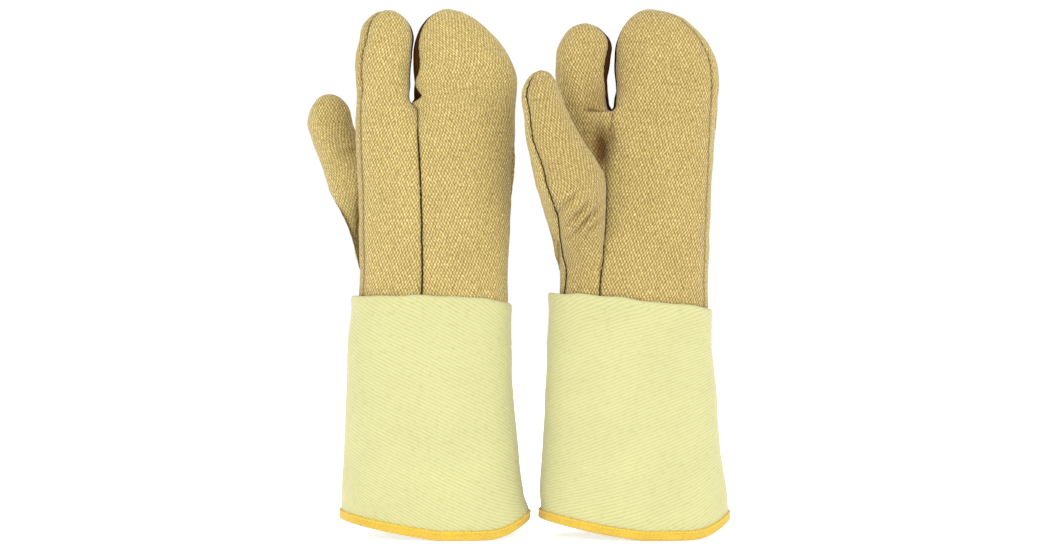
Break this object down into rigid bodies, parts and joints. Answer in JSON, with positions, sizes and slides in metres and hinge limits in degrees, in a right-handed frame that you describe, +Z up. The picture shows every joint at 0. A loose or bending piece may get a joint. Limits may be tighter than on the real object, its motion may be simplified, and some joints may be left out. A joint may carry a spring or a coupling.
{
  "type": "cryogenic gloves",
  "caption": "Pair of padded one-finger mittens in coarse tan cloth with long flared yellow gauntlets and bound hems, standing upright.",
  "frame": {"origin": "centre of the pair on the table that the hems stand on", "axes": "+Z up along the fingers, +X from the right-hand glove to the left-hand glove, +Y away from the side that shows one back and one palm"},
  "size_m": [0.3604, 0.1356, 0.457],
  "materials": {
    "glove_cloth": "coarse plain-weave tan cloth of thick yarns, matt",
    "gauntlet_twill": "pale yellow cotton twill, matt",
    "gauntlet_lining": "thin plain cotton lining, matt",
    "hem_binding": "golden-yellow bias binding, matt",
    "felt_lining": "off-white wool felt, fuzzy and matt",
    "seam_thread": "dark brown sewing thread, matt"
  },
  "bodies": {
    "right_gauntlet": {"right_hem_binding": "hem_binding", "right_gauntlet_shell": "gauntlet_twill", "right_gauntlet_lining": "gauntlet_lining", "right_cuff_fold": "gauntlet_twill", "right_wrist_fold": "glove_cloth"},
    "right_hand": {"right_back_index_panel": "glove_cloth", "right_back_mitt_panel": "glove_cloth", "right_palm_panel": "glove_cloth", "right_thumb_base_panel": "glove_cloth", "right_hand_lining": "felt_lining", "right_index_knuckle_fold": "glove_cloth", "right_mitt_knuckle_fold": "glove_cloth", "right_thumb_root_fold": "glove_cloth"},
    "right_index": {"right_index_back_panel": "glove_cloth", "right_index_palm_panel": "glove_cloth", "right_index_side_strip": "glove_cloth", "right_index_lining": "felt_lining"},
    "right_mitt": {"right_mitt_back_panel": "glove_cloth", "right_mitt_palm_panel": "glove_cloth", "right_mitt_side_strip": "glove_cloth", "right_mitt_lining": "felt_lining"},
    "right_thumb": {"right_thumb_back_panel": "glove_cloth", "right_thumb_palm_panel": "glove_cloth", "right_thumb_lining": "felt_lining"},
    "left_gauntlet": {"left_hem_binding": "hem_binding", "left_gauntlet_shell": "gauntlet_twill", "left_gauntlet_lining": "gauntlet_lining", "left_cuff_fold": "gauntlet_twill", "left_wrist_fold": "glove_cloth"},
    "left_hand": {"left_back_index_panel": "glove_cloth", "left_back_mitt_panel": "glove_cloth", "left_palm_panel": "glove_cloth", "left_thumb_base_panel": "glove_cloth", "left_hand_lining": "felt_lining", "left_index_knuckle_fold": "glove_cloth", "left_mitt_knuckle_fold": "glove_cloth", "left_thumb_root_fold": "glove_cloth"},
    "left_index": {"left_index_back_panel": "glove_cloth", "left_index_palm_panel": "glove_cloth", "left_index_side_strip": "glove_cloth", "left_index_lining": "felt_lining"},
    "left_mitt": {"left_mitt_back_panel": "glove_cloth", "left_mitt_palm_panel": "glove_cloth", "left_mitt_side_strip": "glove_cloth", "left_mitt_lining": "felt_lining"},
    "left_thumb": {"left_thumb_back_panel": "glove_cloth", "left_thumb_palm_panel": "glove_cloth", "left_thumb_lining": "felt_lining"}
  },
  "joints": [
    {"name": "right_wrist_bend", "type": "hinge", "parent": "right_gauntlet", "child": "right_hand", "pos_m": [-0.07532, 0, 0.221], "axis": [-1, 0, 0], "range_deg": [-30, 30], "stiffness_Nm_per_rad": 2, "deforming": ["right_wrist_fold"]},
    {"name": "right_index_bend", "type": "hinge", "parent": "right_hand", "child": "right_index", "pos_m": [-0.11902, 0, 0.38], "axis": [-1, 0, 0], "range_deg": [-10, 50], "stiffness_Nm_per_rad": 0.5, "deforming": ["right_index_knuckle_fold"]},
    {"name": "right_mitt_bend", "type": "hinge", "parent": "right_hand", "child": "right_mitt", "pos_m": [-0.04862, 0, 0.38], "axis": [-1, 0, 0], "range_deg": [-10, 50], "stiffness_Nm_per_rad": 0.8, "deforming": ["right_mitt_knuckle_fold"]},
    {"name": "right_thumb_swing", "type": "hinge", "parent": "right_hand", "child": "right_thumb", "pos_m": [-0.13132, 0.0465, 0.312], "axis": [0, -1, 0], "range_deg": [-30, 12], "stiffness_Nm_per_rad": 0.5, "deforming": ["right_thumb_root_fold"]},
    {"name": "left_wrist_bend", "type": "hinge", "parent": "left_gauntlet", "child": "left_hand", "pos_m": [0.09768, 0, 0.221], "axis": [1, 0, 0], "range_deg": [-30, 30], "stiffness_Nm_per_rad": 2, "deforming": ["left_wrist_fold"]},
    {"name": "left_index_bend", "type": "hinge", "parent": "left_hand", "child": "left_index", "pos_m": [0.05398, 0, 0.38], "axis": [1, 0, 0], "range_deg": [-10, 50], "stiffness_Nm_per_rad": 0.5, "deforming": ["left_index_knuckle_fold"]},
    {"name": "left_mitt_bend", "type": "hinge", "parent": "left_hand", "child": "left_mitt", "pos_m": [0.12438, 0, 0.38], "axis": [1, 0, 0], "range_deg": [-10, 50], "stiffness_Nm_per_rad": 0.8, "deforming": ["left_mitt_knuckle_fold"]},
    {"name": "left_thumb_swing", "type": "hinge", "parent": "left_hand", "child": "left_thumb", "pos_m": [0.04168, -0.0465, 0.312], "axis": [0, -1, 0], "range_deg": [-30, 12], "stiffness_Nm_per_rad": 0.5, "deforming": ["left_thumb_root_fold"]},
    {"name": "left_glove_lift", "type": "slide", "parent": "right_gauntlet", "child": "left_gauntlet", "axis": [0, 0, 1], "range_m": [0, 0.3]}
  ]
}
